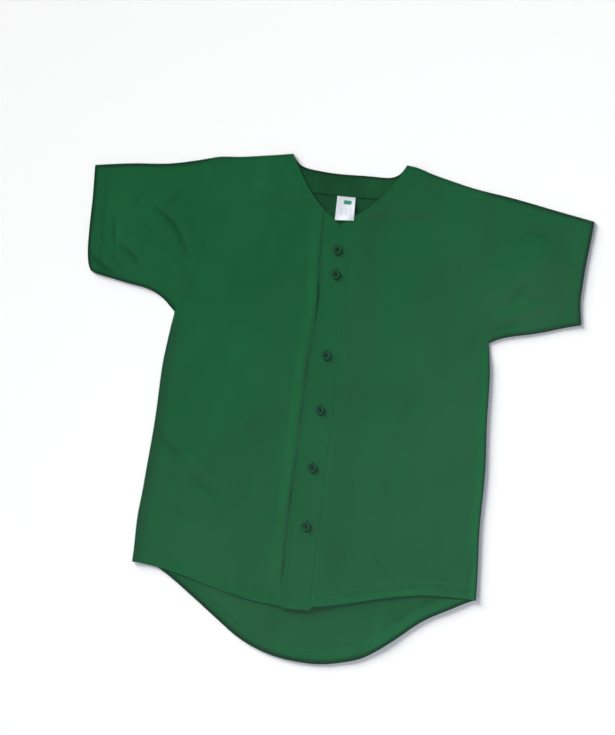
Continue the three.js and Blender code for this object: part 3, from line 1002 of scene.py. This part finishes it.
def add_band(side, band, base):
    """A button band with its rows of topstitching. Only the left one shows."""
    shows = side is LEFT
    grid = band_grid(band, shows)
    relief = topstitch_groove(grid.left, BAND_ROWS["left"], depth=0.1)
    relief += topstitch_groove(grid.right, BAND_ROWS["right"], depth=0.03)
    relief += topstitch_groove(grid.top, BAND_ROWS["top"], depth=0.1)
    relief += topstitch_groove(grid.bottom, HEM.rows[0], depth=0.1)
    relief += 0.1 * pucker(grid.y, seed=31) * bell(grid.left - BAND_ROWS["left"], 4)
    if shows:
        relief = relief + button_dimples(grid.x, grid.y) + 0.35 * fade(grid.bottom, 0, 12) ** 2
    else:
        relief = np.minimum(relief, 0.1)
    under = base(grid.x, grid.y)
    over = under + BAND + relief
    round_edges(grid, under, over, left=PRESSED, right=BUTTED, bottom=FOLDED, top=PRESSED)
    piece = add_shell(f"cloth_placket_{side.name}", grid, BODY_CLOTH)
    sheet_of_cloth(f"placket_{side.name}", grid)
    return grid


# A sleeve's inner tube: how far it is in from the outer one at both folds, and the two radii
SLEEVE = Sizes(wall=1.3, outer=1.6, inner=0.9)


def sleeve_ring(grid, floor, ceiling, inset, radius):
    """Rings round a flattened tube, over its upper side from the underarm and back below."""
    width = grid.bottom + grid.top
    nearest = np.minimum(grid.bottom, grid.top)
    round_share = np.sqrt(1 - np.clip(1 - nearest / radius, 0, 1) ** 2)
    middle, half = (floor + ceiling) / 2, (ceiling - floor) / 2
    squeeze = (width - 2 * inset) / width
    axis = np.stack([grid.x, grid.y], axis=-1)
    centre = (axis[:1] + axis[-1:]) / 2
    places = centre + (axis - centre) * squeeze[..., None]
    upper = np.concatenate([places, (middle + half * round_share)[..., None]], axis=-1)
    lower = np.concatenate([places, (middle - half * round_share)[..., None]], axis=-1)
    return np.concatenate([upper, lower[-2:0:-1]])


def sleeve_grid(side):
    """A sleeve's outline as it lies, from the armhole to the cuff."""
    def start(t):
        return armhole(t) + (SEAM, 0)

    edges = dict(
        left=start,
        right=bowed(side.cuff_bottom, side.cuff_top, side.cuff_bow),
        bottom=arc(start(np.zeros(1))[0], UNDERARM_CURVE, side.cuff_bottom),
        top=line(start(np.ones(1))[0], side.cuff_top),
    )
    if side.sign < 0:
        edges = {place: mirrored(edge) for place, edge in edges.items()}
    long, wide = 185, 225
    across = stations(long, step=2.6, last=HEM_ROWS)
    return lay_out(**edges, across=across, along=stations(wide, step=2.7))


def sleeve_skins(grid, side):
    """The rings of a sleeve's outer and inner tube."""
    relief = hem_relief(grid.right, grid.y, seed=41 + side.sign, drawn=0.4)
    relief += seam_ridge(grid.left, height=0.12) + seam_ridge(grid.bottom, height=0.15)
    ceiling = CLOTH + GAP + rise(grid.x, grid.y) + 0.5 * fade(grid.right, 0, 40)
    cuff_round = CLOTH / 2 * edge_fall(grid.right, FOLDED[0])
    seam_round = CLOTH * BUTTED[1] * edge_fall(grid.left, BUTTED[0])
    grid.under = hem_grooves(grid.right, 0.28) + cuff_round
    grid.over = ceiling + CLOTH + relief - cuff_round - seam_round
    outer = sleeve_ring(grid, grid.under, grid.over, 0, SLEEVE.outer)
    inner = sleeve_ring(grid, CLOTH - cuff_round, ceiling + cuff_round, SLEEVE.wall, SLEEVE.inner)
    return outer, inner


def tube_faces(ring, steps):
    """The faces of an outer tube, of the inner one after it, and of both open ends between them."""
    index = np.arange(ring * steps).reshape(ring, steps)
    index = np.concatenate([index, index[:1]])
    inner = index + ring * steps
    ends = [
        np.stack([index[1:, 0], index[:-1, 0], inner[:-1, 0], inner[1:, 0]], axis=-1),
        np.stack([index[:-1, -1], index[1:, -1], inner[1:, -1], inner[:-1, -1]], axis=-1),
    ]
    return np.concatenate([quads(index), quads(inner)[:, ::-1], *ends])


def add_sleeve(side):
    """A sleeve as a flattened tube, open at the cuff and the armhole, with a turned cuff."""
    grid = sleeve_grid(side)
    outer, inner = sleeve_skins(grid, side)
    faces = tube_faces(*outer.shape[:2])
    if side.sign < 0:
        faces = faces[:, ::-1]
    points = np.concatenate([outer.reshape(-1, 3), inner.reshape(-1, 3)])
    # Painted shade along the sleeve's edges and in its creases
    shade = cloth_shade(grid, reach=9, right=1.1, bottom=1.2, top=1.2)
    shade = np.concatenate([shade, shade[-2:0:-1]])
    both, cloth = [shade, np.zeros_like(shade)], SLEEVE_CLOTH[side.name]
    piece = add_mesh(f"cloth_sleeve_{side.name}", points, faces.tolist(), cloth, both)
    sheet_of_cloth(f"sleeve_{side.name}", grid, sides=2)
    return grid


def add_facing():
    """A crescent inside the back of the neck, sewn down along its lower edge."""
    upper = back_neckline()
    lower = back_neckline(FACING_DEPTH, FACING_SPREAD)
    wide = 260
    grid = lay_out(
        left=line(lower(np.zeros(1))[0], upper(np.zeros(1))[0]),
        right=line(lower(np.ones(1))[0], upper(np.ones(1))[0]),
        bottom=lower,
        top=upper,
        across=stations(wide, step=2.5),
        along=stations(FACING_DEPTH, step=1.8, first=FACING_ROWS, last=FACING_ROWS),
    )
    relief = topstitch_groove(grid.bottom, FACING_ROW, depth=0.12, width=0.7)
    relief += topstitch_groove(grid.top, FACING_ROW, depth=0.1)
    relief += unevenness(grid.x, grid.y, seed=6, height=0.06)
    under = np.full_like(grid.x, CLOTH + GAP)
    over = under + FACING + np.minimum(relief, 0.15)
    round_edges(grid, under, over, **dict.fromkeys(EDGES, FOLDED))
    # Painted shade: the facing takes the darker neck cloth, with a painted dark line along its top edge
    piece = add_shell("cloth_back_neck_facing", grid, NECK_SHADE_CLOTH, cloth_shade(grid, top=1.2))
    sheet_of_cloth("back_neck_facing", grid)
    return grid


def label_height(x, y):
    """The label is held at its top edge, and its lower corner lies on the left front's band."""
    down = (TAG.top - y) / TAG.height
    aside = 0.5 + (x - TAG.x) / TAG.width
    return CLOTH + GAP + 0.05 + 4.1 * smooth(aside * down, 0, 0.74)


def add_label():
    """A plain satin label, whose free corners are limp and sag a little out of square."""
    left, right = TAG.x - TAG.width / 2, TAG.x + TAG.width / 2
    bottom = TAG.top - TAG.height
    low_left, low_right = (left, bottom - 2.6), (right - 0.6, bottom - 0.4)
    high_left, high_right = (left, TAG.top), (right - 1.8, TAG.top)
    grid = lay_out(
        left=line(low_left, high_left),
        right=line(low_right, high_right),
        bottom=line(low_left, low_right),
        top=line(high_left, high_right),
        across=stations(TAG.width, step=1.2, first=LABEL_ROWS, last=LABEL_ROWS),
        along=stations(TAG.height, step=1.2, first=LABEL_ROWS, last=LABEL_ROWS),
    )
    under = label_height(grid.x, grid.y)
    round_edges(grid, under, under + LABEL, **dict.fromkeys(EDGES, LABEL_EDGE))
    piece = add_shell("satin_neck_label", grid, SATIN)
    sheet_of_cloth("neck_label", grid)


def add_label_marks(name, bars, material):
    """Woven bars on the label, each given as its middle and its width and height."""
    points, faces = [], []
    for x, y, width, height in bars:
        across = TAG.x + x + width * np.linspace(-0.5, 0.5, 2 + int(width))
        along = TAG.top - y + height * np.linspace(-0.5, 0.5, 2 + int(height))
        places = np.meshgrid(across, along)
        under = label_height(*places) + LABEL + 0.03
        bar_points, bar_faces = closed_wall(*places, under, under + 0.1)
        faces += (bar_faces + sum(map(len, points))).tolist()
        points.append(bar_points)
    piece = add_mesh(name, np.concatenate(points), faces, material)
    piece.data.set_sharp_from_angle(angle=CLOTH_ANGLE)


# A button's section from its middle out, round its rim and back to its middle
BUTTON_TOP = [(0, 1.8), (3.4, 1.82), (4.4, 1.96), (5.2, 2.2), (5.9, 2.38), (6.5, 2.42), (7.0, 2.32)]
BUTTON_RIM = [(7.4, 2.3), (7.58, 1.9), (7.6, 1.5), (7.45, 1.05), (7.1, 0.65), (6.5, 0.25), (5.6, 0)]
BUTTON_SIDES = 64
BUTTON_HOLES = Sizes(radius=1.0, apart=3.2, sides=20)


def lathe(section, sides):
    """A closed round body from a section that starts and ends on the axis."""
    turn = np.arange(sides) * 2 * math.pi / sides
    points = [(r * math.cos(a), r * math.sin(a), z) for r, z in section[1:-1] for a in turn]
    points = [(0, 0, section[0][1]), *points, (0, 0, section[-1][1])]
    here = np.arange(1, len(points) - 1).reshape(-1, sides)
    beyond = np.roll(here, -1, axis=1)
    walls = np.stack([here[:-1], here[1:], beyond[1:], beyond[:-1]], axis=-1).reshape(-1, 4)
    first = [[0, a, b] for a, b in zip(here[0].tolist(), beyond[0].tolist())]
    last = [[a, len(points) - 1, b] for a, b in zip(here[-1].tolist(), beyond[-1].tolist())]
    return points, first + walls.tolist() + last


def button_mesh():
    """A dished four-hole button, whose holes go right through."""
    def plain(name, section, sides, places):
        points, faces = lathe(section, sides)
        mesh = bpy.data.meshes.new(name)
        joined = [(x + dx, y + dy, z) for dx, dy in places for x, y, z in points]
        shifted = [[i + k * len(points) for i in face] for k in range(len(places)) for face in faces]
        mesh.from_pydata(joined, [], shifted)
        made = bpy.data.objects.new(name, mesh)
        bpy.context.scene.collection.objects.link(made)
        return made

    half = BUTTON_HOLES.apart / 2
    places = [(-half, -half), (half, -half), (half, half), (-half, half)]
    disc = plain("disc", [*BUTTON_TOP, *BUTTON_RIM, (0, 0)], BUTTON_SIDES, [(0, 0)])
    # Each drill widens at the top, so that its hole has a soft mouth
    radius = BUTTON_HOLES.radius
    drill = [(0, 3), (radius + 0.5, 3), (radius + 0.3, 1.95), (radius, 1.6), (radius, -1), (0, -1)]
    drills = plain("drills", drill, BUTTON_HOLES.sides, places)
    cut = disc.modifiers.new("holes", "BOOLEAN")
    cut.object = drills
    cut.operation = "DIFFERENCE"
    shaped = disc.evaluated_get(bpy.context.evaluated_depsgraph_get()).to_mesh()
    points = np.array([vertex.co for vertex in shaped.vertices])
    faces = [list(face.vertices) for face in shaped.polygons]
    for made in (disc, drills):
        bpy.data.objects.remove(made)
    return points, faces


def band_top(x, y):
    """The height of the left band's upper side at one place."""
    return float(left_front_base(np.array(x, float), np.array(y, float))) + BAND


def add_buttons():
    points, faces = button_mesh()
    for number, (x, y) in enumerate(BUTTON_PLACES, start=1):
        place = (x, y, band_top(x, y) + GAP)
        piece = add_mesh(f"resin_button_{number}", points + place, faces, RESIN)
        piece.data.set_sharp_from_angle(angle=BUTTON_ANGLE)
        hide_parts(f"button_{number}")


def add_button_threads():
    """Two bars of thread across each button, three strands each, down through its holes."""
    half = BUTTON_HOLES.apart / 2
    path = [(-half, -1.2), (-half, 1.9), (-half * 0.75, 2.5), (0, 2.62)]
    path += [(-x, z) for x, z in path[-2::-1]]
    lines = []
    for x, y in BUTTON_PLACES:
        height = band_top(x, y) + GAP
        for bar in (-half, half):
            for strand in (-0.32, 0, 0.32):
                lines.append([(x + dx, y + bar + strand, height + dz) for dx, dz in path])
    add_threads("button_threads", lines, 0.27, BUTTON_THREAD)


# An upright buttonhole, a little longer than its button: half its length, and its two legs
BUTTONHOLE = Sizes(half=8.6, leg=1.0, bar=0.85, step=0.5, tack=1.7)


def buttonhole_bars():
    """The stitches round a buttonhole: where each is from the middle, and half its length."""
    hole = BUTTONHOLE
    legs = [
        (leg, along, hole.bar)
        for leg in (-hole.leg, hole.leg)
        for along in np.arange(-hole.half, hole.half, hole.step)
    ]
    tacks = [(0, end * (hole.half + row * hole.step), hole.tack) for end in (-1, 1) for row in range(4)]
    return legs + tacks


def add_buttonholes():
    lines = []
    for button_x, button_y in BUTTON_PLACES:
        for aside, along, reach in buttonhole_bars():
            x, y = button_x + aside, button_y + along
            height = band_top(x, y) + float(button_dimples(*np.array([x, y], float)))
            lines.append([(x - reach, y, height - 0.1), (x, y, height + 0.3), (x + reach, y, height - 0.1)])
    add_threads("buttonhole_stitches", lines, 0.24, THREAD, sides=4)


def add_rows(name, rows):
    add_threads(name, np.concatenate(rows), STITCH.radius, THREAD)


def add_stitching(back, fronts, band, sleeves, facing):
    """The rows of lockstitch and coverstitch, on each side of the cloth that can be seen."""
    add_rows("stitching_front_hem", [
        stitch_row(grid, "bottom", row) for grid in (*fronts, band) for row in HEM.rows
    ])
    both = [(row, side) for row in HEM.rows for side in ("over", "under")]
    add_rows("stitching_tail_hem", [stitch_row(back, "bottom", row, side) for row, side in both])
    for name, sleeve in zip(("right", "left"), sleeves):
        cuff = [stitch_row(sleeve, "right", row, side, slice(2, -2)) for row, side in both]
        add_rows(f"stitching_cuff_{name}", cuff)
    add_rows("stitching_band", [stitch_row(band, edge, row) for edge, row in BAND_ROWS.items()])
    necks = []
    for front in fronts:
        start = np.searchsorted(front.v[:, 0], SEAM_SHARE) + 1
        necks.append(stitch_row(front, "left", NECK_ROW, ends=slice(start, -1)))
    necks += [stitch_row(facing, edge, FACING_ROW, ends=slice(3, -3)) for edge in ("bottom", "top")]
    add_rows("stitching_neck", necks)


add_camera()
add_studio()
back = add_back()
halves = ((RIGHT, BAND_RIGHT, right_front_base), (LEFT, BAND_LEFT, left_front_base))
fronts = [add_front(*half) for half in halves]
bands = [add_band(*half) for half in halves]
sleeves = [add_sleeve(side) for side in (RIGHT, LEFT)]
facing = add_facing()
add_label()
add_label_marks("label_stripe", [(2, 9.5, 13, 6.5)], SATIN_GREEN)
dashes = [(x, y, width, 0.9) for y in (20, 23.5, 27, 30.5) for x, width in ((-7, 7), (1.5, 6), (8.5, 5))]
add_label_marks("label_dashes", dashes, SATIN_GREY)
add_buttons()
add_button_threads()
add_buttonholes()
add_stitching(back, fronts, bands[1], sleeves, facing)
